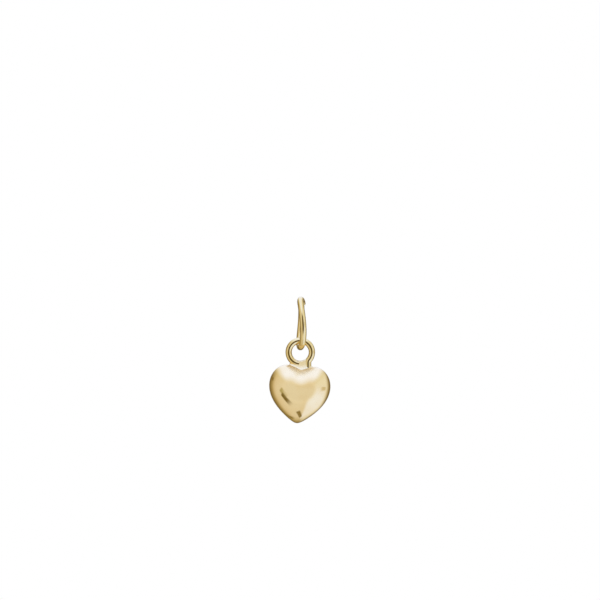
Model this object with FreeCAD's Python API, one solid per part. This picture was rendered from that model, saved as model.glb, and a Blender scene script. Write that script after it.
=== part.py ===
import FreeCAD, Part
import math
import os

# Puffed heart charm with a soldered eye and an open bail link, in millimetres.
# The origin is the inside top of the bail link, where the chain runs through.
# +X is to the right as the front is seen, +Y goes from the heart's front to its back, +Z is up.

# Wire and fits
BAIL_WIRE = 0.82
EYE_WIRE = 0.82
HANG_CLEARANCE = 0.04

# Bail link, an oval of round wire seen edge-on, cut open and a little twisted
BAIL_HEIGHT = 6.97
BAIL_DEPTH = 4.42
BAIL_BOW = 0.22
BAIL_TWIST_FOOT = 12.0
BAIL_TWIST_HEAD = -3.0
CUT_ANGLE = 35.0
CUT_GAP = 0.16
SPRUNG_END = 0.18
SPRUNG_ARC = 65.0

# Eye, a ring of round wire: its tail ends at the bottom, its other end bends down into a leg
EYE_DIAMETER = 3.84
EYE_TAIL_ANGLE = 265.0
EYE_LEG_ANGLE = -40.0
EYE_LEG_BEND = 0.6

# Heart
HEART_WIDTH = 7.97
HEART_HEIGHT = 7.48
HEART_THICKNESS = 4.2
HEART_WALL = 0.28
HEART_LEAN = 4.9
HEART_FULLNESS = 0.03
EYE_SINK = 0.18
EYE_SHIFT = -0.31

# The heart's form as wave series, each with a highest value of one: how far the edge is from
# the axis, how high it is, and how far the front stands out between cleft and tip
EDGE_ACROSS = (0.865, 0.0, -0.135)
EDGE_UP = (0.145, 1.056, -0.173, -0.107, -0.023)
PUFF = (0.98, 0.10)

# The valley that runs down from the cleft: its share of the front's depth, its width as a share
# of the half width, and how far it reaches towards the tip, as an angle of the waves above
VALLEY_DEPTH = 0.20
VALLEY_WIDTH = 0.32
VALLEY_LENGTH = 0.95

# Solder seat: how far it climbs up the eye's hole and down under the lobes' tops, how far it
# stays inside the eye's middle line and wire, and how it flares on the way down
SEAT_RIM = 0.35
SEAT_ROOT = 0.70
SEAT_INSIDE_RING = 0.17
SEAT_INSIDE_WIRE = 0.03
SEAT_FLARE = 0.30
SEAT_SPREAD = 0.30
SEAT_FILLET = 0.10
SEAT_BURIED = 0.03
SEAT_CURVE = 2.5

# How many sections and points the lofts have
HEART_STATIONS = 18
ARCH_STEPS = 16
RING_POINTS = 16
BAIL_POINTS = 24
SEAT_STATIONS = 14


def sine_series(terms, angle):
    return sum(term * math.sin((k + 1) * angle) for k, term in enumerate(terms))


def cosine_series(terms, angle):
    return sum(term * math.cos(k * angle) for k, term in enumerate(terms))


def smooth_step(share):
    share = min(max(share, 0.0), 1.0)
    return share * share * (3.0 - 2.0 * share)


# Places that follow from the sizes
BAIL_HALF_HEIGHT = (BAIL_HEIGHT - BAIL_WIRE) / 2
BAIL_HALF_DEPTH = (BAIL_DEPTH - BAIL_WIRE) / 2
BAIL_MIDDLE = BAIL_WIRE / 2 - BAIL_HALF_HEIGHT
BOW_TOP = BAIL_MIDDLE - BAIL_HALF_HEIGHT + BAIL_WIRE / 2
EYE_RADIUS = (EYE_DIAMETER - EYE_WIRE) / 2
EYE_CENTRE = FreeCAD.Vector(0, 0, BOW_TOP + HANG_CLEARANCE - EYE_RADIUS + EYE_WIRE / 2)
EYE_OVER_HEART = HEART_HEIGHT / 2 + EYE_DIAMETER / 2 - EYE_SINK


def heart_place():
    """The heart's own frame, leaning, with the eye set a little beside its axis."""
    turn = FreeCAD.Rotation(FreeCAD.Vector(0, 1, 0), HEART_LEAN)
    eye_in_heart = FreeCAD.Vector(EYE_SHIFT, 0, EYE_OVER_HEART)
    return FreeCAD.Placement(EYE_CENTRE - turn.multVec(eye_in_heart), turn)


def skin_point(station, turn, inset):
    """A point of the puffed skin: station runs from the cleft, 0, to the tip, pi,
    and turn goes round from the middle of the front, 0, through the right-hand edge."""
    half_width = HEART_WIDTH / 2 - inset
    half_height = HEART_HEIGHT / 2 - inset
    half_depth = HEART_THICKNESS / 2 - inset
    across = half_width * sine_series(EDGE_ACROSS, station)
    dip = (math.sin(turn) / VALLEY_WIDTH) ** 2 + (station / VALLEY_LENGTH) ** 2
    valley = 1.0 - VALLEY_DEPTH * math.exp(-dip)
    depth = half_depth * sine_series(PUFF, station) * valley
    edge_rise = cosine_series(EDGE_UP, station)
    cleft = cosine_series(EDGE_UP, 0.0)
    tip = cosine_series(EDGE_UP, math.pi)
    middle_rise = (cleft + tip) / 2 + (cleft - tip) / 2 * math.cos(station)
    rise = middle_rise + (edge_rise - middle_rise) * math.sin(turn) ** 2
    full = 1.0 - HEART_FULLNESS
    side = (math.sin(turn) + HEART_FULLNESS * math.sin(3 * turn)) / full
    front = (math.cos(turn) - HEART_FULLNESS * math.cos(3 * turn)) / full
    return FreeCAD.Vector(across * side, -depth * front, half_height * rise)


def smooth_curve(points, closed=False):
    """A smooth curve through points that are evenly spaced in its parameter, so that
    neighbouring curves share their knots and a loft over them stays light."""
    marks = range(len(points) + 1) if closed else range(len(points))
    curve = Part.BSplineCurve()
    curve.interpolate(Points=points, PeriodicFlag=closed, Parameters=[float(mark) for mark in marks])
    return Part.Wire([curve.toShape()])


def front_dome(inset):
    """The front half of the puffed form, filled, flat where it meets the back half."""
    sections = [Part.Vertex(skin_point(0.0, 0.0, inset))]
    turns = [math.pi * (n / ARCH_STEPS - 0.5) for n in range(ARCH_STEPS + 1)]
    for k in range(1, HEART_STATIONS):
        station = math.pi * k / HEART_STATIONS
        sections.append(smooth_curve([skin_point(station, turn, inset) for turn in turns]))
    sections.append(Part.Vertex(skin_point(math.pi, 0.0, inset)))
    skin = Part.makeLoft(sections, False, False)
    girdle = [edge for edge in skin.Edges if not edge.Degenerated]
    lid = Part.Face(Part.Wire(Part.sortEdges(girdle)[0]))
    closed = Part.Compound([*skin.Faces, lid])
    closed.sewShape()
    return Part.Solid(closed.Shells[0])


def heart_halves(inset):
    """The two halves of the puffed form in the pendant's frame, filled."""
    place = heart_place().toMatrix()
    front = front_dome(inset)
    back = front.mirror(FreeCAD.Vector(0, 0, 0), FreeCAD.Vector(0, 1, 0))
    return front.transformed(place), back.transformed(place)


def cut_end(place, along, diameter):
    """The round face of a wire that is cut square."""
    return Part.Face(Part.Wire([Part.Circle(place, along, diameter / 2).toShape()]))


def around_eye(radius, degrees):
    angle = math.radians(degrees)
    return EYE_CENTRE + FreeCAD.Vector(radius * math.cos(angle), 0, radius * math.sin(angle))


def ring_direction(degrees):
    angle = math.radians(degrees)
    return FreeCAD.Vector(-math.sin(angle), 0, math.cos(angle))


def bent_eye_wire():
    """The eye's wire: round the ring from its tail, back through a bend and down the leg."""
    through = FreeCAD.Vector(0, -1, 0)
    down = FreeCAD.Vector(0, 0, -1)
    tail = cut_end(around_eye(EYE_RADIUS, EYE_TAIL_ANGLE), ring_direction(EYE_TAIL_ANGLE), EYE_WIRE)
    ring = tail.revolve(EYE_CENTRE, through, EYE_LEG_ANGLE - EYE_TAIL_ANGLE)
    neck = cut_end(around_eye(EYE_RADIUS, EYE_LEG_ANGLE), ring_direction(EYE_LEG_ANGLE), EYE_WIRE)
    bend_centre = around_eye(EYE_RADIUS + EYE_LEG_BEND, EYE_LEG_ANGLE)
    bend = neck.revolve(bend_centre, through, -EYE_LEG_ANGLE)
    leg_top = bend_centre - FreeCAD.Vector(EYE_LEG_BEND, 0, 0)
    root = heart_place().multVec(FreeCAD.Vector(0, 0, HEART_HEIGHT / 2 - SEAT_ROOT))
    leg = cut_end(leg_top, down, EYE_WIRE).extrude(down * (leg_top.z - root.z))
    return ring.fuse([bend, leg]).removeSplitter()


def eye_ring(halves):
    """The eye, with its leg filed to the lobe that it stands on."""
    eye = bent_eye_wire()
    for half in halves:
        eye = eye.cut(half)
    return eye


def solder_seat(halves, eye):
    """Solder drawn up between the eye's tail and leg, with a hollow flare down to the lobes."""
    sections = []
    top = EYE_WIRE - EYE_SINK + SEAT_RIM
    for k in range(SEAT_STATIONS):
        share = k / (SEAT_STATIONS - 1)
        over_lobes = top - (top + SEAT_ROOT) * share
        spread = SEAT_SPREAD * math.exp(-max(over_lobes, -SEAT_BURIED) / SEAT_FILLET)
        half_width = EYE_RADIUS - SEAT_INSIDE_RING + spread
        half_depth = EYE_WIRE / 2 - SEAT_INSIDE_WIRE + SEAT_FLARE * share ** SEAT_CURVE
        middle = EYE_SHIFT * (1.0 - share)
        points = []
        for n in range(RING_POINTS):
            turn = 2 * math.pi * n / RING_POINTS
            points.append(FreeCAD.Vector(middle + half_width * math.sin(turn),
                                         -half_depth * math.cos(turn), HEART_HEIGHT / 2 + over_lobes))
        sections.append(smooth_curve(points, closed=True))
    seat = Part.makeLoft(sections, True, False).transformed(heart_place().toMatrix())
    hole_radius = EYE_RADIUS - EYE_WIRE / 2
    hole_start = EYE_CENTRE - FreeCAD.Vector(0, HEART_THICKNESS, 0)
    hole = Part.makeCylinder(hole_radius, 2 * HEART_THICKNESS, hole_start, FreeCAD.Vector(0, 1, 0))
    for tool in (*halves, eye, hole):
        seat = seat.cut(tool)
    # The leg parts off a sliver at its outer side, where the eye has no solder
    return max(seat.Solids, key=lambda piece: piece.Volume)


def bail_point(degrees):
    """The bail's middle line: 0 is the top, 90 the back strand, 180 the bow, 270 the front."""
    angle = math.radians(degrees)
    height = BAIL_MIDDLE + BAIL_HALF_HEIGHT * math.cos(angle)
    depth = BAIL_HALF_DEPTH * math.sin(angle)
    rise = math.cos(angle / 2) ** 2
    twist = math.radians(BAIL_TWIST_FOOT + (BAIL_TWIST_HEAD - BAIL_TWIST_FOOT) * rise)
    bow = BAIL_BOW * math.sin(angle) ** 2
    sprung_from = 360 + CUT_ANGLE - SPRUNG_ARC
    sprung = SPRUNG_END * smooth_step((degrees - sprung_from) / SPRUNG_ARC)
    return FreeCAD.Vector(bow - depth * math.tan(twist) + sprung, depth, height)


def bail_link():
    """The oval link, cut through at the top of its back strand."""
    degree_run = bail_point(CUT_ANGLE + 1).distanceToPoint(bail_point(CUT_ANGLE))
    lower_end = CUT_ANGLE + CUT_GAP / degree_run
    upper_end = 360 + CUT_ANGLE
    step = (upper_end - lower_end) / BAIL_POINTS
    line = smooth_curve([bail_point(lower_end + step * n) for n in range(BAIL_POINTS + 1)])
    middle = line.Edges[0]
    sections = []
    for n in range(BAIL_POINTS + 1):
        around = Part.Circle(middle.valueAt(n), middle.tangentAt(n), BAIL_WIRE / 2)
        sections.append(Part.Wire([around.toShape()]))
    return Part.makeLoft(sections, True, False)


def pendant():
    front, back = heart_halves(0.0)
    front_hollow, back_hollow = heart_halves(HEART_WALL)
    eye = eye_ring((front, back))
    return {
        "heart_front_shell": front.cut(front_hollow),
        "heart_back_shell": back.cut(back_hollow),
        "eye_ring": eye,
        "solder_seat": solder_seat((front, back), eye),
        "bail_link": bail_link(),
    }


os.makedirs("parts", exist_ok=True)
for node, shape in pendant().items():
    shape.exportStep("parts/" + node + ".step")
    print(node, "solids", len(shape.Solids), "valid", shape.isValid(), "volume", round(shape.Volume, 3))
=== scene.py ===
import math
from types import SimpleNamespace
from typing import NamedTuple

import bmesh
import bpy
from bpy.props import FloatProperty, FloatVectorProperty, IntProperty, PointerProperty
from mathutils import Matrix, Vector


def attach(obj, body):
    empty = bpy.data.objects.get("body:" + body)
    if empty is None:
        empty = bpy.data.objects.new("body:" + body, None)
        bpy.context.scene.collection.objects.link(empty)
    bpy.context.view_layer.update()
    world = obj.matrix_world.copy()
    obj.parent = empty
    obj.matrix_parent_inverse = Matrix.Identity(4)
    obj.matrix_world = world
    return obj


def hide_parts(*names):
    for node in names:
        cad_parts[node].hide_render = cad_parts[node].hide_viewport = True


bl_info = {
    "name": "Heart pendant",
    "version": (1, 0, 0),
    "blender": (4, 5, 0),
    "location": "View3D > Sidebar > Pendant",
    "description": "Models a puffed gold heart charm with its soldered eye and open bail link",
    "category": "Add Mesh",
}

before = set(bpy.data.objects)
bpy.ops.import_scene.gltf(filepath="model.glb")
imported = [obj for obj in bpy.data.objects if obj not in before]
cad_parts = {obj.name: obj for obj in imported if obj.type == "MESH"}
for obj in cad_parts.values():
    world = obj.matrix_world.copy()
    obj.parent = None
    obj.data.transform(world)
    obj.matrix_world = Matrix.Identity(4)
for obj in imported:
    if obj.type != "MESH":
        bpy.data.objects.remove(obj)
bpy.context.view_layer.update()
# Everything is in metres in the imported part's frame. Its origin is the bail's inside top, +X is
# to the right as the front is seen, +Y goes from front to back and +Z is up
MM = 0.001
# Points that are nearer than this are one point
HAIR = 0.00001 * MM


# Sizes and colours that a user would change

class HeartSizes(bpy.types.PropertyGroup):
    width: FloatProperty(
        name="Width", description="Across the two lobes", default=7.97 * MM, unit="LENGTH")
    height: FloatProperty(
        name="Height", description="From the lobes to the tip", default=7.48 * MM, unit="LENGTH")
    thickness: FloatProperty(
        name="Thickness", description="From front to back", default=4.2 * MM, unit="LENGTH")
    wall: FloatProperty(
        name="Wall", description="Thickness of the drawn sheet", default=0.28 * MM, unit="LENGTH")
    lean: FloatProperty(
        name="Lean", description="How far the heart hangs turned", default=math.radians(4.9),
        subtype="ANGLE")
    fullness: FloatProperty(
        name="Fullness", description="How much its section is squarer than an oval", default=0.03,
        subtype="FACTOR")
    edge_across: FloatVectorProperty(
        name="Edge across", description="Waves of the edge's distance from the axis", size=3,
        default=(0.865, 0.0, -0.135))
    edge_up: FloatVectorProperty(
        name="Edge up", description="Waves of the edge's height", size=5,
        default=(0.145, 1.056, -0.173, -0.107, -0.023))
    puff: FloatVectorProperty(
        name="Puff", description="Waves of how far the front stands out", size=2,
        default=(0.98, 0.10))
    valley_depth: FloatProperty(
        name="Valley depth", description="How much the front dips below the cleft, as a share",
        default=0.20, subtype="FACTOR")
    valley_width: FloatProperty(
        name="Valley width", description="How wide the dip is, as a share of the half width",
        default=0.32, subtype="FACTOR")
    valley_length: FloatProperty(
        name="Valley length", description="How far the dip reaches towards the tip",
        default=0.95, subtype="ANGLE")
    seam: FloatProperty(
        name="Seam", description="Rounding of each half where the two meet", default=0.03 * MM,
        unit="LENGTH")
    stations: IntProperty(
        name="Stations", description="Rows of faces from cleft to tip", default=150)
    turns: IntProperty(
        name="Turns", description="Rows of faces across each half", default=120)


class WireSizes(bpy.types.PropertyGroup):
    wire: FloatProperty(
        name="Wire", description="Diameter of the wire of eye and bail", default=0.82 * MM,
        unit="LENGTH")
    hang_clearance: FloatProperty(
        name="Hang clearance", description="Room between bail and eye", default=0.04 * MM,
        unit="LENGTH")
    bail_height: FloatProperty(
        name="Bail height", description="Outside height", default=6.97 * MM, unit="LENGTH")
    bail_depth: FloatProperty(
        name="Bail depth", description="Outside depth", default=4.42 * MM, unit="LENGTH")
    bail_bow: FloatProperty(
        name="Bail bow", description="How far the strands bow sideways", default=0.22 * MM,
        unit="LENGTH")
    twist_foot: FloatProperty(
        name="Twist at the foot", description="Turn of the link at its bottom",
        default=math.radians(12.0), subtype="ANGLE")
    twist_head: FloatProperty(
        name="Twist at the head", description="Turn of the link at its top",
        default=math.radians(-3.0), subtype="ANGLE")
    cut_angle: FloatProperty(
        name="Cut angle", description="Place of the cut in the link", default=math.radians(35.0),
        subtype="ANGLE")
    cut_gap: FloatProperty(
        name="Cut gap", description="Width of the cut", default=0.16 * MM, unit="LENGTH")
    sprung_end: FloatProperty(
        name="Sprung end", description="How far one end stands aside", default=0.18 * MM,
        unit="LENGTH")
    sprung_arc: FloatProperty(
        name="Sprung arc", description="Length of the stretch that stands aside",
        default=math.radians(65.0), subtype="ANGLE")
    eye_diameter: FloatProperty(
        name="Eye diameter", description="Outside", default=3.84 * MM, unit="LENGTH")
    tail_angle: FloatProperty(
        name="Tail angle", description="Where the eye's tail ends", default=math.radians(265.0),
        subtype="ANGLE")
    leg_angle: FloatProperty(
        name="Leg angle", description="Where the eye's leg leaves the ring",
        default=math.radians(-40.0), subtype="ANGLE")
    leg_bend: FloatProperty(
        name="Leg bend", description="Radius of the bend into the leg", default=0.6 * MM,
        unit="LENGTH")
    leg_reach: FloatProperty(
        name="Leg reach", description="How far the eye's leg reaches below the lobes' top",
        default=0.55 * MM, unit="LENGTH")
    eye_sink: FloatProperty(
        name="Eye sink", description="How far the eye reaches below the lobes' top",
        default=0.18 * MM, unit="LENGTH")
    eye_shift: FloatProperty(
        name="Eye shift", description="How far the eye stands beside the heart's axis",
        default=-0.31 * MM, unit="LENGTH")
    end_rounding: FloatProperty(
        name="End rounding", description="Rounding of the cut wire's edges", default=0.05 * MM,
        unit="LENGTH")
    sides: IntProperty(
        name="Sides", description="Faces round the wire", default=40)


class SolderSizes(bpy.types.PropertyGroup):
    rim: FloatProperty(
        name="Rim", description="How far it climbs above the wire's underside",
        default=0.35 * MM, unit="LENGTH")
    root: FloatProperty(
        name="Root", description="How far it reaches down between the lobes",
        default=0.70 * MM, unit="LENGTH")
    inside_ring: FloatProperty(
        name="Inside ring", description="How far it stays inside the eye's middle line",
        default=0.17 * MM, unit="LENGTH")
    spread: FloatProperty(
        name="Spread", description="How far it flows over the lobes", default=0.30 * MM,
        unit="LENGTH")
    fillet: FloatProperty(
        name="Fillet", description="How fast the flow thins", default=0.10 * MM, unit="LENGTH")
    flare: FloatProperty(
        name="Flare", description="How much deeper it is at its root", default=0.36 * MM,
        unit="LENGTH")
    inside_wire: FloatProperty(
        name="Inside wire", description="How far it stays inside the wire's front and back",
        default=0.09 * MM, unit="LENGTH")
    buried: FloatProperty(
        name="Buried", description="Depth under the lobes' top where the flow is widest",
        default=0.03 * MM, unit="LENGTH")
    curve: FloatProperty(
        name="Curve", description="How suddenly it deepens towards its root", default=2.5)
    under_skin: FloatProperty(
        name="Under skin", description="How far its foot lies under the heart's skin",
        default=0.05 * MM, unit="LENGTH")
    foot_drop: FloatProperty(
        name="Foot drop", description="How far its foot reaches down", default=1.0 * MM,
        unit="LENGTH")
    foot_half_width: FloatProperty(
        name="Foot half width", description="How far its foot reaches sideways",
        default=2.3 * MM, unit="LENGTH")
    foot_half_depth: FloatProperty(
        name="Foot half depth", description="How far its foot reaches to front and back",
        default=1.1 * MM, unit="LENGTH")
    grain: FloatProperty(
        name="Grain", description="Size of the faces of the solder's skin", default=0.022 * MM,
        unit="LENGTH")
    flow: IntProperty(
        name="Flow", description="How often the skin is smoothed", default=120)


class GoldFinish(bpy.types.PropertyGroup):
    gold: FloatVectorProperty(
        name="Gold", description="Colour of the polished metal", size=3, subtype="COLOR",
        min=0.0, max=1.0, default=(0.93, 0.76, 0.44))
    deep_gold: FloatVectorProperty(
        name="Deep gold", description="Colour of its redder patches", size=3, subtype="COLOR",
        min=0.0, max=1.0, default=(0.90, 0.70, 0.37))
    wire_gold: FloatVectorProperty(
        name="Wire gold", description="Colour of the drawn wire", size=3, subtype="COLOR",
        min=0.0, max=1.0, default=(0.88, 0.72, 0.37))
    deep_wire_gold: FloatVectorProperty(
        name="Deep wire gold", description="Colour of the wire's redder patches", size=3,
        subtype="COLOR", min=0.0, max=1.0, default=(0.85, 0.67, 0.32))
    solder: FloatVectorProperty(
        name="Solder", description="Colour of the solder", size=3, subtype="COLOR",
        min=0.0, max=1.0, default=(0.90, 0.77, 0.47))
    solder_dullness: FloatProperty(
        name="Solder dullness", description="How many times rougher the solder is than the gold",
        default=3.0)
    heat_haze: FloatProperty(
        name="Heat haze", description="Extra roughness of the heart beside the solder",
        default=0.52, subtype="FACTOR", min=0.0, max=1.0)
    heat_near: FloatProperty(
        name="Heat near", description="How far from the cleft the haze is full",
        default=1.3 * MM, unit="LENGTH")
    heat_far: FloatProperty(
        name="Heat far", description="How far from the cleft the haze ends",
        default=2.6 * MM, unit="LENGTH")
    shine: FloatProperty(
        name="Shine", description="Roughness of the polished metal", default=0.07,
        subtype="FACTOR", min=0.0, max=1.0)


class StudioSizes(bpy.types.PropertyGroup):
    pixels_per_mm: FloatProperty(
        name="Pixels per mm", description="Scale of the photograph", default=7.7)
    origin_across: FloatProperty(
        name="Origin across", description="Pixels from the photograph's left to the origin",
        default=300.3)
    origin_down: FloatProperty(
        name="Origin down", description="Pixels from the photograph's top to the origin",
        default=303.0)
    distance: FloatProperty(
        name="Camera distance", description="From the camera to the pendant", default=0.8,
        unit="LENGTH")
    floor_drop: FloatProperty(
        name="Floor drop", description="From the bail's top down to the floor", default=0.068,
        unit="LENGTH")
    floor_radius: FloatProperty(
        name="Floor radius", description="From the floor's middle to its edge", default=0.5,
        unit="LENGTH")
    panel_distance: FloatProperty(
        name="Panel distance", description="From the front panel to the pendant", default=0.6,
        unit="LENGTH")
    panel_drop: FloatProperty(
        name="Panel drop", description="From the bail's top down to the front panel's middle",
        default=0.0115, unit="LENGTH")


class PendantSettings(bpy.types.PropertyGroup):
    heart: PointerProperty(type=HeartSizes)
    wires: PointerProperty(type=WireSizes)
    solder: PointerProperty(type=SolderSizes)
    finish: PointerProperty(type=GoldFinish)
    studio: PointerProperty(type=StudioSizes)


def plain(group):
    """A group's values as plain numbers and tuples, which are quick to read many times."""
    values = {}
    for name in group.bl_rna.properties.keys():
        if name not in ("rna_type", "name"):
            value = getattr(group, name)
            values[name] = value if isinstance(value, (int, float)) else tuple(value)
    return SimpleNamespace(**values)


# Form

def sine_series(terms, angle):
    return sum(term * math.sin((k + 1) * angle) for k, term in enumerate(terms))


def cosine_series(terms, angle):
    return sum(term * math.cos(k * angle) for k, term in enumerate(terms))


def smooth_step(share):
    share = min(max(share, 0.0), 1.0)
    return share * share * (3.0 - 2.0 * share)


def open_edges(form):
    return [edge for edge in form.edges if edge.is_boundary]


def round_off(form, edges, width):
    """Rounds sharp edges off with three rows of faces."""
    bmesh.ops.bevel(
        form, geom=edges, offset=width, offset_type="OFFSET", segments=3, profile=0.5,
        affect="EDGES", material=-1, clamp_overlap=True)


def mesh_of(form, name):
    """Turns a form into a mesh. The form can't be used after that."""
    mesh = bpy.data.meshes.new(name)
    form.to_mesh(mesh)
    form.free()
    return mesh


def add_object(name, data):
    """Adds an object to the scene, at the origin."""
    thing = bpy.data.objects.new(name, data)
    bpy.context.scene.collection.objects.link(thing)
    return thing


def bow_top(wires):
    """Height of the inside of the bail's bow, where the eye hangs."""
    return 2 * wires.wire - wires.bail_height


def eye_radius(wires):
    return (wires.eye_diameter - wires.wire) / 2


def eye_centre(wires):
    drop = eye_radius(wires) - wires.wire / 2
    return Vector((0.0, 0.0, bow_top(wires) + wires.hang_clearance - drop))


def heart_place(heart, wires):
    """The heart's own frame, leaning, with the eye set a little beside its axis."""
    turn = Matrix.Rotation(heart.lean, 4, "Y")
    over_heart = heart.height / 2 + wires.eye_diameter / 2 - wires.eye_sink
    eye_in_heart = Vector((wires.eye_shift, 0.0, over_heart))
    return Matrix.Translation(eye_centre(wires) - turn @ eye_in_heart) @ turn


def skin_point(heart, station, turn, inset):
    """A point of the puffed skin: station runs from the cleft, 0, to the tip, pi,
    and turn goes round from the middle of the front, 0, through the right-hand edge."""
    across = (heart.width / 2 - inset) * sine_series(heart.edge_across, station)
    dip = (math.sin(turn) / heart.valley_width) ** 2 + (station / heart.valley_length) ** 2
    valley = 1.0 - heart.valley_depth * math.exp(-dip)
    depth = (heart.thickness / 2 - inset) * sine_series(heart.puff, station) * valley
    cleft = cosine_series(heart.edge_up, 0.0)
    tip = cosine_series(heart.edge_up, math.pi)
    middle_rise = (cleft + tip) / 2 + (cleft - tip) / 2 * math.cos(station)
    edge_rise = cosine_series(heart.edge_up, station)
    rise = middle_rise + (edge_rise - middle_rise) * math.sin(turn) ** 2
    side = (math.sin(turn) + heart.fullness * math.sin(3 * turn)) / (1.0 - heart.fullness)
    front = (math.cos(turn) - heart.fullness * math.cos(3 * turn)) / (1.0 - heart.fullness)
    return Vector((across * side, -depth * front, (heart.height / 2 - inset) * rise))


def add_dome(form, heart, side, inset, stations, turns):
    """The skin of one half of the heart, side -1 for the front and 1 for the back, drawn out of
    a flat grid whose left and right edges become the girdle. Returns its corners."""
    corners = bmesh.ops.create_grid(form, x_segments=turns, y_segments=stations, size=1.0)["verts"]
    # The grid's first and last row shrink to a point each, the tip and the cleft
    poles = [corner for corner in corners if abs(corner.co.y) > 1.0 - 0.5 / stations]
    for corner in corners:
        station = (1.0 - corner.co.y) * math.pi / 2
        turn = corner.co.x * math.pi / 2
        spot = skin_point(heart, station, turn, inset)
        corner.co = (spot.x, -side * spot.y, spot.z)
    bmesh.ops.remove_doubles(form, verts=poles, dist=HAIR)
    return [corner for corner in corners if corner.is_valid]


def heart_half_form(heart, wires, side):
    """One hollow half of the heart, with its outer edge rounded where the two halves meet."""
    form = bmesh.new()
    add_dome(form, heart, side, 0.0, heart.stations, heart.turns)
    seam = open_edges(form)
    add_dome(form, heart, side, heart.wall, heart.stations, heart.turns)
    bmesh.ops.bridge_loops(form, edges=open_edges(form))
    round_off(form, seam, heart.seam)
    bmesh.ops.transform(form, matrix=heart_place(heart, wires), verts=form.verts)
    bmesh.ops.recalc_face_normals(form, faces=form.faces)
    return form


def cut_away(form, corners, point, outwards):
    """Cuts a closed form off beyond a plane, closes the cut and returns the corners left."""
    edges = list({edge for corner in corners for edge in corner.link_edges})
    faces = list({face for corner in corners for face in corner.link_faces})
    cut = bmesh.ops.bisect_plane(
        form, geom=[*corners, *edges, *faces], dist=HAIR, plane_co=point, plane_no=outwards,
        clear_outer=True)["geom_cut"]
    rim = [part for part in cut if isinstance(part, bmesh.types.BMEdge)]
    bmesh.ops.holes_fill(form, edges=rim)
    on_rim = {corner for edge in rim for corner in edge.verts}
    return list(on_rim.union(corner for corner in corners if corner.is_valid))


# Wires

def frames_along(line, sideways):
    """A frame at each point of a line: its Z runs along the line and its X stays sideways."""
    frames = []
    for n, point in enumerate(line):
        along = (line[min(n + 1, len(line) - 1)] - line[max(n - 1, 0)]).normalized()
        first = (sideways - sideways.dot(along) * along).normalized()
        second = along.cross(first)
        turn = Matrix((first, second, along)).transposed().to_4x4()
        frames.append(Matrix.Translation(point) @ turn)
    return frames


def draw_on(form, ring, move):
    """Draws a ring of corners on by a move and returns the new ring."""
    inside = set(ring)
    edges = {edge for corner in ring for edge in corner.link_edges if inside.issuperset(edge.verts)}
    drawn = bmesh.ops.extrude_edge_only(form, edges=list(edges))["geom"]
    ring = [part for part in drawn if isinstance(part, bmesh.types.BMVert)]
    bmesh.ops.transform(form, matrix=move, verts=ring)
    return ring


def wire_form(line, sideways, wires):
    """Round wire along a line, with its cut ends a little rounded. An attribute holds each
    point's place on the same wire drawn straight."""
    form = bmesh.new()
    straight = form.verts.layers.float_vector.new("straight")
    frames = frames_along(line, sideways)
    ring = bmesh.ops.create_circle(
        form, cap_ends=True, segments=wires.sides, radius=wires.wire / 2, matrix=frames[0])["verts"]
    length = 0.0
    for n, place in enumerate(frames):
        if n:
            length += (line[n] - line[n - 1]).length
            ring = draw_on(form, ring, place @ frames[n - 1].inverted())
        for corner in ring:
            spot = place.inverted() @ corner.co
            corner[straight] = (spot.x, spot.y, length)
    bmesh.ops.contextual_create(form, geom=open_edges(form))
    bmesh.ops.recalc_face_normals(form, faces=form.faces)
    # Only the two cut faces have more than four corners
    ends = [edge for edge in form.edges if any(len(face.verts) > 4 for face in edge.link_faces)]
    round_off(form, ends, wires.end_rounding)
    return form


def bail_point(wires, angle):
    """The bail's middle line: 0 is the top, then the back strand, the bow and the front."""
    half_height = (wires.bail_height - wires.wire) / 2
    half_depth = (wires.bail_depth - wires.wire) / 2
    middle = wires.wire / 2 - half_height
    depth = half_depth * math.sin(angle)
    rise = (1.0 + math.cos(angle)) / 2
    twist = wires.twist_foot + (wires.twist_head - wires.twist_foot) * rise
    bow = wires.bail_bow * math.sin(angle) ** 2
    sprung_from = 2 * math.pi + wires.cut_angle - wires.sprung_arc
    sprung = wires.sprung_end * smooth_step((angle - sprung_from) / wires.sprung_arc)
    return Vector((bow - depth * math.tan(twist) + sprung, depth,
                   middle + half_height * math.cos(angle)))


def bail_line(wires, steps=220):
    small = math.radians(1.0)
    run = (bail_point(wires, wires.cut_angle + small) - bail_point(wires, wires.cut_angle)).length
    start = wires.cut_angle + wires.cut_gap / run * small
    end = 2 * math.pi + wires.cut_angle
    return [bail_point(wires, start + (end - start) * n / steps) for n in range(steps + 1)]


def arc_points(centre, radius, start, end, steps):
    """Points of an arc in the pendant's plane. Angles are counted from its right-hand side."""
    angles = [start + (end - start) * n / steps for n in range(steps + 1)]
    return [centre + radius * Vector((math.cos(a), 0.0, math.sin(a))) for a in angles]


def eye_line(heart, wires, steps=200):
    """The eye's middle line: round the ring from its tail, through a bend and down the leg."""
    centre = eye_centre(wires)
    radius = eye_radius(wires)
    short_steps = steps // 12
    ring = arc_points(centre, radius, wires.tail_angle, wires.leg_angle, steps)
    towards_leg = Vector((math.cos(wires.leg_angle), 0.0, math.sin(wires.leg_angle)))
    bend_centre = centre + (radius + wires.leg_bend) * towards_leg
    bend = arc_points(
        bend_centre, wires.leg_bend, math.pi + wires.leg_angle, math.pi, short_steps)
    root = heart_place(heart, wires) @ Vector((0.0, 0.0, heart.height / 2))
    leg_top = bend[-1]
    drop = leg_top.z - root.z + wires.leg_reach
    leg = [leg_top - Vector((0.0, 0.0, drop * (n + 1) / short_steps)) for n in range(short_steps)]
    return ring + bend[1:] + leg


# Solder

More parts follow.
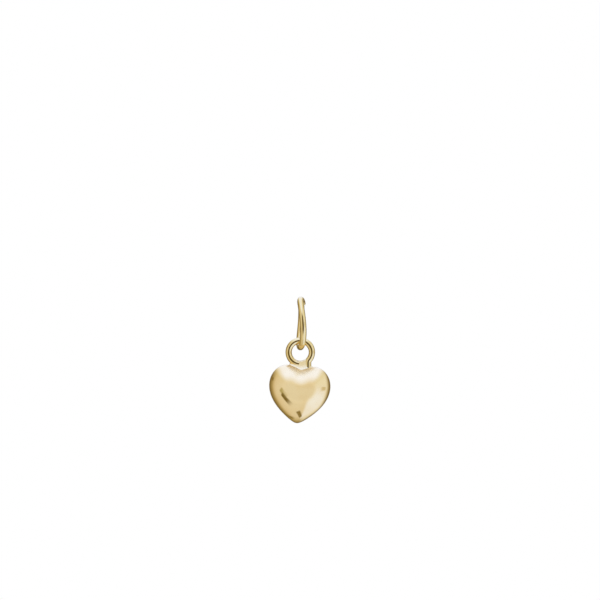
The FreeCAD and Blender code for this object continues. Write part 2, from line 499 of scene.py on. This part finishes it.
def solder_core(form, heart, wires, solder, sections=16, sides=48):
    """The solder under the eye, drawn up from a wide foot. Its top fills the eye's hole."""
    top = wires.wire - wires.eye_sink + solder.rim
    ring = None
    for n in range(sections + 1):
        share = n / sections
        over_lobes = top - (top + solder.root) * share
        spread = solder.spread * math.exp(-max(over_lobes, -solder.buried) / solder.fillet)
        half_width = eye_radius(wires) - solder.inside_ring + spread
        half_depth = wires.wire / 2 - solder.inside_wire + solder.flare * share ** solder.curve
        place = Matrix.LocRotScale(
            Vector((wires.eye_shift * (1.0 - share), 0.0, heart.height / 2 + over_lobes)), None,
            Vector((half_width, half_depth, 1.0)))
        if ring:
            ring = draw_on(form, ring, place @ previous.inverted())
        else:
            ring = bmesh.ops.create_circle(
                form, cap_ends=True, segments=sides, radius=1.0, matrix=place)["verts"]
        previous = place
    bmesh.ops.contextual_create(form, geom=open_edges(form))
    bmesh.ops.transform(form, matrix=heart_place(heart, wires), verts=form.verts)


def add_lobe_tops(form, heart, wires, solder, stations=64, turns=48):
    """The tops of the lobes, a little under their skin, for the solder to flow on to."""
    corners = []
    for side in (-1, 1):
        corners += add_dome(form, heart, side, solder.under_skin, stations, turns)
    bmesh.ops.remove_doubles(form, verts=corners, dist=HAIR)
    corners = [corner for corner in corners if corner.is_valid]
    level = heart.height / 2 - solder.foot_drop
    corners = cut_away(form, corners, (0.0, 0.0, level), (0.0, 0.0, -1.0))
    for side in (-1, 1):
        reach = (side * solder.foot_half_width, side * solder.foot_half_depth, 0.0)
        corners = cut_away(form, corners, reach, (side, 0.0, 0.0))
        corners = cut_away(form, corners, reach, (0.0, side, 0.0))
    bmesh.ops.transform(form, matrix=heart_place(heart, wires), verts=corners)


def push_out_of_hole(corners, wires):
    """Moves what stands in the eye's hole out to the hole's edge."""
    centre = eye_centre(wires)
    hole = eye_radius(wires) - wires.wire / 2
    for corner in corners:
        out = Vector((corner.co.x - centre.x, 0.0, corner.co.z - centre.z))
        if out.length < hole:
            corner.co += out.normalized() * (hole - out.length)


def melted(form, grain):
    """The same form as one skin of small even faces."""
    blob = add_object("melt", mesh_of(form, "melt"))
    remesh = blob.modifiers.new("melt", "REMESH")
    remesh.mode = "VOXEL"
    remesh.voxel_size = grain
    whole = blob.evaluated_get(bpy.context.evaluated_depsgraph_get())
    form = bmesh.new()
    form.from_mesh(whole.data)
    bpy.data.objects.remove(blob)
    return form


def solder_form(heart, wires, solder):
    """Solder that has flowed from the eye's wire on to the lobes, with the hole left open."""
    form = bmesh.new()
    solder_core(form, heart, wires, solder)
    add_lobe_tops(form, heart, wires, solder)
    form = melted(form, solder.grain)
    push_out_of_hole(form.verts, wires)
    form = melted(form, solder.grain)
    for _ in range(solder.flow):
        bmesh.ops.smooth_vert(
            form, verts=form.verts, factor=0.5, use_axis_x=True, use_axis_y=True, use_axis_z=True)
    bmesh.ops.recalc_face_normals(form, faces=form.faces)
    return form


# Finishing a piece

def finished_piece(name, form, material, body, nodes):
    """Turns a form into a smooth-shaded piece that rides on its body and stands for its nodes."""
    piece = add_object(name, mesh_of(form, name))
    piece.data.shade_smooth()
    piece.data.materials.append(material)
    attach(piece, body)
    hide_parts(*nodes)
    return piece


# Shaders

# How high the reliefs stand, and how much slower the wire's drawing lines change along it
RELIEF = 0.02 * MM
DRAWN_OUT = (1.0, 1.0, 0.04)


class Signal:
    """A number running through a shader, so that shader maths reads as plain sums."""

    def __init__(self, graph, socket):
        self.graph = graph
        self.socket = socket

    def maths(self, operation, *others, **settings):
        values = dict(enumerate((self, *others)))
        return self.graph.add("ShaderNodeMath", {"operation": operation, **settings}, values)

    def __add__(self, other):
        return self.maths("ADD", other)

    def __sub__(self, other):
        return self.maths("SUBTRACT", other)

    def __mul__(self, other):
        return self.maths("MULTIPLY", other)

    def __truediv__(self, other):
        return self.maths("DIVIDE", other)

    def __rsub__(self, other):
        return self.graph.add("ShaderNodeMath", {"operation": "SUBTRACT"}, {0: other, 1: self})

    __radd__ = __add__
    __rmul__ = __mul__


class Graph:
    """The node tree of a material, a lamp or the surroundings."""

    def __init__(self, owner):
        owner.use_nodes = True
        self.tree = owner.node_tree
        self.tree.nodes.clear()

    def add(self, kind, settings=None, inputs=None, output=0):
        """Adds a node, applies its settings, fills its sockets and returns one output."""
        node = self.tree.nodes.new(kind)
        for name, value in (settings or {}).items():
            if name == "stops":
                self.set_stops(node.color_ramp, value)
            else:
                setattr(node, name, value)
        for name, value in (inputs or {}).items():
            if isinstance(value, Signal):
                self.tree.links.new(value.socket, node.inputs[name])
            else:
                node.inputs[name].default_value = value
        return Signal(self, node.outputs[output]) if len(node.outputs) else None

    @staticmethod
    def set_stops(ramp, stops):
        while len(ramp.elements) < len(stops):
            ramp.elements.new(1.0)
        for element, (position, colour) in zip(ramp.elements, stops):
            element.position = position
            element.color = (*colour, 1.0)

    def mix_colour(self, share, first, second):
        """Blends from a first colour to a second, each of them a signal or three numbers."""
        first, second = (c if isinstance(c, Signal) else (*c, 1.0) for c in (first, second))
        sockets = {"Factor": share, 6: first, 7: second}
        return self.add("ShaderNodeMix", {"data_type": "RGBA"}, sockets, output=2)

    def noise(self, place, scale, detail=2.0, roughness=0.5):
        sockets = {"Vector": place, "Scale": scale, "Detail": detail, "Roughness": roughness}
        return self.add("ShaderNodeTexNoise", None, sockets, output="Fac")

    def step(self, value, start, end):
        """Rises smoothly from 0 at start to 1 at end."""
        sockets = {"Value": value, "From Min": start, "From Max": end}
        settings = {"interpolation_type": "SMOOTHSTEP"}
        return self.add("ShaderNodeMapRange", settings, sockets, output="Result")

    def bump(self, height, strength):
        sockets = {"Strength": strength, "Distance": RELIEF, "Height": height}
        return self.add("ShaderNodeBump", None, sockets)


def gold_material(name, colour, deep_colour, roughness, build_relief, build_haze=None):
    """Polished gold: slow patches of colour, a haze in the polish and a relief of its own."""
    material = bpy.data.materials.new(name)
    graph = Graph(material)
    place = graph.add("ShaderNodeTexCoord", output="Object")
    patches = graph.step(graph.noise(place, scale=420.0, detail=3.0), start=0.35, end=0.7)
    tint = graph.mix_colour(patches, colour, deep_colour)
    # The polish varies between half of the roughness and one and a half of it
    haze = graph.noise(place, scale=2600.0, detail=4.0, roughness=0.6)
    dullness = haze * roughness + roughness * 0.5
    if build_haze:
        dullness = dullness + build_haze(graph, place)
    relief = build_relief(graph, place)
    shader = graph.add(
        "ShaderNodeBsdfPrincipled", None,
        {"Base Color": tint, "Metallic": 1.0, "Roughness": dullness, "Normal": relief})
    graph.add("ShaderNodeOutputMaterial", None, {"Surface": shader})
    return material


def heat_haze(finish, cleft):
    """The softer polish beside the solder, where the buff doesn't reach."""
    def build(graph, place):
        sockets = {0: place, 1: cleft}
        away = graph.add("ShaderNodeVectorMath", {"operation": "DISTANCE"}, sockets, "Value")
        return (1.0 - graph.step(away, finish.heat_near, finish.heat_far)) * finish.heat_haze
    return build


def polished_relief(graph, place):
    """The slow unevenness of hand-polished sheet, with hair-fine polishing lines."""
    swell = 0.9 * graph.noise(place, scale=260.0, detail=1.0)
    grain = 0.02 * graph.noise(place, scale=9000.0, detail=3.0)
    return graph.bump(swell + grain, strength=0.5)


def drawn_relief(graph, place):
    """Drawing lines along the wire, and the slow waves of wire bent by hand."""
    straight = graph.add("ShaderNodeAttribute", {"attribute_name": "straight"}, None, "Vector")
    sockets = {0: straight, 1: DRAWN_OUT}
    stretched = graph.add("ShaderNodeVectorMath", {"operation": "MULTIPLY"}, sockets)
    lines = 0.04 * graph.noise(stretched, scale=14000.0, detail=2.0)
    waves = 0.5 * graph.noise(place, scale=700.0, detail=1.0)
    return graph.bump(lines + waves, strength=0.5)


def solder_relief(graph, place):
    """Frozen ripples and small pits."""
    ripples = graph.noise(place, scale=2600.0, detail=3.0)
    pits = 0.2 * graph.step(graph.noise(place, scale=7000.0, detail=2.0), start=0.62, end=0.75)
    return graph.bump(ripples - pits, strength=0.4)


# Studio

# The tent's light by how far off the camera it is, in degrees
TENT = (
    (0.0, (0.815, 0.80, 0.77)),
    (50.0, (0.815, 0.79, 0.74)),
    (67.0, (0.775, 0.725, 0.65)),
    (82.0, (0.65, 0.585, 0.435)),
    (97.0, (0.47, 0.395, 0.225)),
    (115.0, (0.345, 0.275, 0.13)),
    (135.0, (0.22, 0.17, 0.07)),
    (152.0, (0.22, 0.17, 0.08)),
    (180.0, (0.62, 0.58, 0.50)),
)


class TentPatch(NamedTuple):
    """A soft box or a dark card on a map of the tent, whose middle is the camera and whose
    distances are degrees off it. The patch is turned about its middle, and each of its sides
    fades over a range."""
    middle: tuple
    turn: float
    left: tuple
    right: tuple
    low: tuple
    high: tuple
    light: tuple


SIDE_WALL = TentPatch(
    middle=(0.0, 0.0), turn=0.0, left=(5.0, 35.0), right=(72.0, 125.0), low=(-130.0, -80.0),
    high=(60.0, 110.0), light=(0.88, 0.90, 0.92))
RIGHT_BOX = TentPatch(
    middle=(0.0, 0.0), turn=-3.0, left=(8.0, 16.0), right=(60.0, 98.0), low=(-92.0, -58.0),
    high=(-15.0, 25.0), light=(0.95, 1.06, 1.45))
SOFT_BOXES = (SIDE_WALL, RIGHT_BOX)

PALE_CARD = TentPatch(
    middle=(-29.5, -9.0), turn=-48.0, left=(-14.0, -9.0), right=(10.0, 14.0), low=(-9.0, -5.0),
    high=(6.0, 10.0), light=(0.49, 0.45, 0.25))
LEFT_CARD = TentPatch(
    middle=(-25.0, -23.5), turn=-48.0, left=(-16.0, -12.0), right=(2.0, 18.0), low=(-7.5, -4.5),
    high=(4.5, 7.5), light=(0.22, 0.17, 0.05))
LOW_CARD = TentPatch(
    middle=(2.0, -60.0), turn=-64.0, left=(-15.0, -11.0), right=(8.0, 16.0), low=(-6.5, -3.0),
    high=(3.0, 6.5), light=(0.28, 0.22, 0.09))
CORNER_CARD = TentPatch(
    middle=(-50.0, -84.0), turn=17.0, left=(-45.0, -25.0), right=(12.0, 40.0), low=(-9.0, -3.0),
    high=(3.0, 8.0), light=(0.30, 0.24, 0.10))
SHOULDER_CARD = TentPatch(
    middle=(-98.0, 38.0), turn=-20.0, left=(-18.0, -10.0), right=(8.0, 16.0), low=(-10.0, -5.0),
    high=(5.0, 10.0), light=(0.28, 0.22, 0.09))
SMALL_CARD = TentPatch(
    middle=(66.0, 3.0), turn=-5.0, left=(-26.0, -8.0), right=(6.0, 20.0), low=(-14.0, -4.0),
    high=(3.0, 6.0), light=(0.70, 0.655, 0.535))
DARK_CARDS = (PALE_CARD, LEFT_CARD, LOW_CARD, CORNER_CARD, SHOULDER_CARD, SMALL_CARD)

# The tent's open top, a white fan in a warm one: half of the spread round the camera and the
# light of each, how far up their lower side fades, and where they end behind the pendant
TOP_FANS = (
    ((30.0, 68.0), (0.82, 0.80, 0.64)),
    ((20.0, 50.0), (1.02, 1.18, 1.82)),
)
TOP_FADE = (10.0, 50.0)
TOP_END = (145.0, 172.0)
# The dark round of the camera's lens: its light, and where its edge fades, in degrees
LENS_DARK = (0.13, 0.09, 0.025)
LENS_INNER = 18.0
LENS_OUTER = 34.0
# The plain light that reaches the floor, and the plain white that the camera sees behind
FLOOR_LIGHT = (0.94, 0.94, 0.94)
BACKDROP_LIGHT = (1.0, 1.0, 1.0)
FLOOR_COLOUR = (0.93, 0.90, 0.82)
# The photograph's width and height, in pixels
PHOTO_SIZE = 600


def add_patch(graph, light, patch, across, up):
    """The tent's light with a patch of its map laid over it."""
    cosine = math.cos(math.radians(patch.turn))
    sine = math.sin(math.radians(patch.turn))
    x = across - patch.middle[0]
    y = up - patch.middle[1]
    along = x * cosine + y * sine
    aside = y * cosine - x * sine
    inside_along = graph.step(along, *patch.left) * (1.0 - graph.step(along, *patch.right))
    inside_aside = graph.step(aside, *patch.low) * (1.0 - graph.step(aside, *patch.high))
    return graph.mix_colour(inside_along * inside_aside, light, patch.light)


def light_surroundings():
    """A warm light tent with soft boxes, plain white for the floor and behind the pendant."""
    world = bpy.data.worlds.new("light_tent")
    bpy.context.scene.world = world
    graph = Graph(world)
    direction = graph.add("ShaderNodeTexCoord", output="Generated")
    x, y, z = (
        graph.add("ShaderNodeSeparateXYZ", None, {"Vector": direction}, axis) for axis in "XYZ")
    off_camera = (y * -1.0).maths("ARCCOSINE") * math.degrees(1.0)
    round_camera = z.maths("ARCTAN2", x)
    across = off_camera * round_camera.maths("COSINE")
    up = off_camera * round_camera.maths("SINE")
    stops = [(degrees / 180.0, colour) for degrees, colour in TENT]
    light = graph.add("ShaderNodeValToRGB", {"stops": stops}, {"Fac": off_camera / 180.0}, "Color")
    for box in SOFT_BOXES:
        light = add_patch(graph, light, box, across, up)
    off_top = (round_camera * math.degrees(1.0) - 90.0).maths("ABSOLUTE")
    reach = graph.step(up, *TOP_FADE) * (1.0 - graph.step(off_camera, *TOP_END))
    for spread, colour in TOP_FANS:
        fan = (1.0 - graph.step(off_top, *spread)) * reach
        light = graph.mix_colour(fan, light, colour)
    for card in DARK_CARDS:
        light = add_patch(graph, light, card, across, up)
    lens = 1.0 - graph.step(off_camera, LENS_INNER, LENS_OUTER)
    light = graph.mix_colour(lens, light, LENS_DARK)
    for ray, plain_light in (("Is Diffuse Ray", FLOOR_LIGHT), ("Is Camera Ray", BACKDROP_LIGHT)):
        seen = graph.add("ShaderNodeLightPath", output=ray)
        light = graph.mix_colour(seen, light, plain_light)
    sky = graph.add("ShaderNodeBackground", None, {"Color": light, "Strength": 1.0})
    graph.add("ShaderNodeOutputWorld", None, {"Surface": sky})


def light_heart_front(studio, heart_pieces):
    """A soft panel over the lens that only the heart and its solder pick up."""
    radius = studio.panel_distance * math.tan(math.radians(LENS_OUTER))
    inner = math.tan(math.radians(LENS_INNER)) / math.tan(math.radians(LENS_OUTER))
    panel = bpy.data.lights.new("front_panel", "AREA")
    panel.shape = "DISK"
    panel.size = 2 * radius
    # With this power the disc is just as bright as its colour
    panel.energy = (math.pi * radius) ** 2
    panel.color = [bright - dark for bright, dark in zip(TENT[0][1], LENS_DARK)]
    graph = Graph(panel)
    spot = graph.add("ShaderNodeNewGeometry", output="Parametric")
    sockets = {0: spot, 1: (0.5, 0.5, 0.0)}
    off_middle = graph.add("ShaderNodeVectorMath", {"operation": "DISTANCE"}, sockets, "Value")
    glow = 1.0 - graph.step(off_middle * 2.0, inner, 1.0)
    emission = graph.add("ShaderNodeEmission", None, {"Strength": glow})
    graph.add("ShaderNodeOutputLight", None, {"Surface": emission})
    lamp = add_object("front_panel", panel)
    lamp.location = (0.0, -studio.panel_distance, -studio.panel_drop)
    lamp.rotation_euler = (math.radians(90.0), 0.0, 0.0)
    lamp.visible_camera = False
    receivers = bpy.data.collections.new("heart_pieces")
    for piece in heart_pieces:
        receivers.objects.link(piece)
    lamp.light_linking.receiver_collection = receivers


def pale_floor(studio):
    """A plain round floor below the picture, which the gold doesn't mirror."""
    form = bmesh.new()
    bmesh.ops.create_circle(form, cap_ends=True, segments=96, radius=studio.floor_radius)
    bmesh.ops.translate(form, verts=form.verts, vec=(0.0, 0.0, -studio.floor_drop))
    floor = add_object("floor", mesh_of(form, "floor"))
    material = bpy.data.materials.new("pale_floor")
    graph = Graph(material)
    shader = graph.add(
        "ShaderNodeBsdfPrincipled", None,
        {"Base Color": (*FLOOR_COLOUR, 1.0), "Roughness": 0.8})
    graph.add("ShaderNodeOutputMaterial", None, {"Surface": shader})
    floor.data.materials.append(material)
    floor.visible_glossy = False


def aim_camera(studio):
    """A long lens at the photograph's scale, looking straight at the pendant's front."""
    width = PHOTO_SIZE / studio.pixels_per_mm * MM
    lens = bpy.data.cameras.new("camera")
    lens.sensor_width = 36.0
    lens.lens = lens.sensor_width * studio.distance / width
    lens.clip_end = 10.0
    camera = add_object("camera", lens)
    across = (PHOTO_SIZE / 2 - studio.origin_across) / studio.pixels_per_mm * MM
    up = (studio.origin_down - PHOTO_SIZE / 2) / studio.pixels_per_mm * MM
    camera.location = (across, -studio.distance, up)
    camera.rotation_euler = (math.radians(90.0), 0.0, 0.0)
    bpy.context.scene.camera = camera


# Operators

class PENDANT_OT_heart(bpy.types.Operator):
    """Model the front and back halves of the hollow heart"""
    bl_idname = "pendant.heart"
    bl_label = "Heart halves"

    def execute(self, context):
        settings = context.scene.pendant
        finish = plain(settings.finish)
        heart = plain(settings.heart)
        wires = plain(settings.wires)
        cleft = heart_place(heart, wires) @ Vector((0.0, 0.0, heart.height / 2))
        for side, name in ((-1, "front"), (1, "back")):
            form = heart_half_form(heart, wires, side)
            material = gold_material(
                f"heart_{name}_gold", finish.gold, finish.deep_gold, finish.shine, polished_relief,
                heat_haze(finish, cleft))
            finished_piece(
                f"heart_{name}", form, material, "heart", [f"heart_{name}_shell"])
        return {"FINISHED"}


class PENDANT_OT_eye(bpy.types.Operator):
    """Model the wire eye with its tail and leg"""
    bl_idname = "pendant.eye"
    bl_label = "Eye"

    def execute(self, context):
        settings = context.scene.pendant
        finish = plain(settings.finish)
        wires = plain(settings.wires)
        line = eye_line(plain(settings.heart), wires)
        form = wire_form(line, Vector((0.0, 1.0, 0.0)), wires)
        material = gold_material(
            "eye_gold", finish.wire_gold, finish.deep_wire_gold, finish.shine, drawn_relief)
        finished_piece("eye", form, material, "heart", ["eye_ring"])
        return {"FINISHED"}


class PENDANT_OT_solder(bpy.types.Operator):
    """Model the solder that holds the eye between the lobes"""
    bl_idname = "pendant.solder"
    bl_label = "Solder"

    def execute(self, context):
        settings = context.scene.pendant
        finish = plain(settings.finish)
        form = solder_form(plain(settings.heart), plain(settings.wires), plain(settings.solder))
        material = gold_material(
            "solder_gold", finish.solder, finish.gold, finish.solder_dullness * finish.shine,
            solder_relief)
        finished_piece("solder", form, material, "heart", ["solder_seat"])
        return {"FINISHED"}


class PENDANT_OT_bail(bpy.types.Operator):
    """Model the open oval bail link"""
    bl_idname = "pendant.bail"
    bl_label = "Bail link"

    def execute(self, context):
        settings = context.scene.pendant
        finish = plain(settings.finish)
        wires = plain(settings.wires)
        form = wire_form(bail_line(wires), Vector((1.0, 0.0, 0.0)), wires)
        material = gold_material(
            "bail_gold", finish.wire_gold, finish.deep_wire_gold, finish.shine, drawn_relief)
        finished_piece("bail", form, material, "bail", ["bail_link"])
        return {"FINISHED"}


class PENDANT_OT_stage(bpy.types.Operator):
    """Set up the floor, the soft light and the camera"""
    bl_idname = "pendant.stage"
    bl_label = "Stage"

    def execute(self, context):
        studio = context.scene.pendant.studio
        context.scene.view_settings.view_transform = "Standard"
        pale_floor(studio)
        light_surroundings()
        lit = [bpy.data.objects[name] for name in ("heart_front", "heart_back", "solder")]
        light_heart_front(studio, lit)
        aim_camera(studio)
        return {"FINISHED"}


class PENDANT_PT_build(bpy.types.Panel):
    """Lists the steps that build the pendant"""
    bl_idname = "PENDANT_PT_build"
    bl_label = "Heart pendant"
    bl_space_type = "VIEW_3D"
    bl_region_type = "UI"
    bl_category = "Pendant"

    def draw(self, context):
        for step in STEPS:
            self.layout.operator(step.bl_idname)


GROUPS = (HeartSizes, WireSizes, SolderSizes, GoldFinish, StudioSizes, PendantSettings)
STEPS = (PENDANT_OT_heart, PENDANT_OT_eye, PENDANT_OT_solder, PENDANT_OT_bail, PENDANT_OT_stage)


def register():
    for group in (*GROUPS, *STEPS, PENDANT_PT_build):
        bpy.utils.register_class(group)
    bpy.types.Scene.pendant = PointerProperty(type=PendantSettings)


def unregister():
    del bpy.types.Scene.pendant
    for group in reversed((*GROUPS, *STEPS, PENDANT_PT_build)):
        bpy.utils.unregister_class(group)


def main():
    register()
    bpy.ops.pendant.heart()
    bpy.ops.pendant.eye()
    bpy.ops.pendant.solder()
    bpy.ops.pendant.bail()
    bpy.ops.pendant.stage()


if __name__ == "__main__":
    main()
